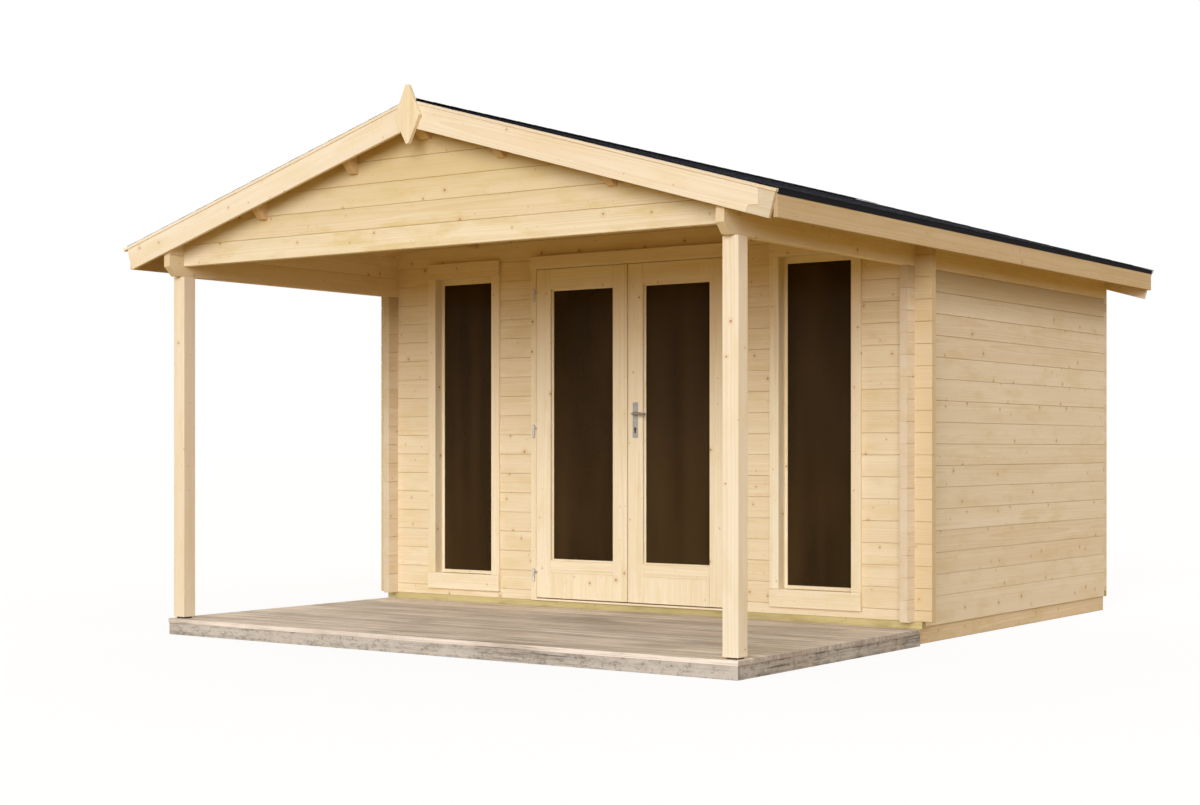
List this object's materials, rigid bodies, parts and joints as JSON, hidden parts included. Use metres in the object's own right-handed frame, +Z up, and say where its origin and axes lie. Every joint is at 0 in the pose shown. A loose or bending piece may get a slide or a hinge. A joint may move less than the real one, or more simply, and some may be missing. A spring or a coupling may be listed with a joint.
{
  "type": "garden shed",
  "caption": "Wooden garden shed of interlocking logs with a felted gable roof, glazed double doors between tall windows, and a roofed porch on posts over a plank deck.",
  "frame": {"origin": "on the ground under the middle of the whole outline", "axes": "+X to the right seen from the front, +Y from the front to the rear along the ridge, +Z up"},
  "size_m": [4.1406, 4.679, 2.7823],
  "materials": {
    "log_wood": "planed softwood logs",
    "trim_wood": "planed pale softwood",
    "roof_wood": "planed softwood boards and purlins",
    "bearer_wood": "sawn softwood",
    "treated_wood": "pressure treated, yellow-green",
    "deck_wood": "weathered grey planks",
    "felt": "mineral bitumen felt",
    "pane": "clear pane with a dark room behind",
    "steel": "satin",
    "pad": "dark pad"
  },
  "bodies": {
    "shed": {"bearers": "bearer_wood", "floor_joists": "bearer_wood", "floor_boards": "roof_wood", "front_sill": "treated_wood", "rear_sill": "treated_wood", "left_wall": "log_wood", "right_wall": "log_wood", "rear_wall": "log_wood", "front_wall_left": "log_wood", "front_wall_right": "log_wood", "front_gable": "log_wood", "left_eaves_beam": "log_wood", "right_eaves_beam": "log_wood", "porch_gable": "log_wood", "left_post": "trim_wood", "right_post": "trim_wood", "post_pads": "pad", "deck_joists": "deck_wood", "deck_fascia": "deck_wood", "deck_boards": "deck_wood", "ridge_purlin": "roof_wood", "purlins": "roof_wood", "left_roof_boards": "roof_wood", "right_roof_boards": "roof_wood", "left_felt": "felt", "right_felt": "felt", "ridge_felt": "felt", "front_left_barge": "trim_wood", "front_right_barge": "trim_wood", "rear_left_barge": "trim_wood", "rear_right_barge": "trim_wood", "barge_splice": "trim_wood", "finial": "trim_wood", "left_fascia": "trim_wood", "right_fascia": "trim_wood", "left_window_frame": "trim_wood", "left_window_glass": "pane", "right_window_frame": "trim_wood", "right_window_glass": "pane", "door_frame": "trim_wood", "door_head_board": "trim_wood", "frame_hinges": "steel"},
    "left_leaf": {"left_door": "trim_wood", "left_door_glass": "pane", "left_hinges": "steel"},
    "right_leaf": {"right_door": "trim_wood", "right_door_glass": "pane", "right_hinges": "steel", "handle_plates": "steel"},
    "lever": {"door_lever": "steel"}
  },
  "joints": [
    {"name": "left_door_hinge", "type": "hinge", "parent": "shed", "child": "left_leaf", "pos_m": [-0.661, -0.465, 1.1], "axis": [0, 0, -1], "range_deg": [0, 105]},
    {"name": "right_door_hinge", "type": "hinge", "parent": "shed", "child": "right_leaf", "pos_m": [0.661, -0.465, 1.1], "axis": [0, 0, 1], "range_deg": [0, 105]},
    {"name": "lever_turn", "type": "hinge", "parent": "right_leaf", "child": "lever", "pos_m": [0.055, -0.4305, 1.209], "axis": [0, 1, 0], "range_deg": [0, 40], "stiffness_Nm_per_rad": 1.2, "springref_deg": -20.05}
  ]
}
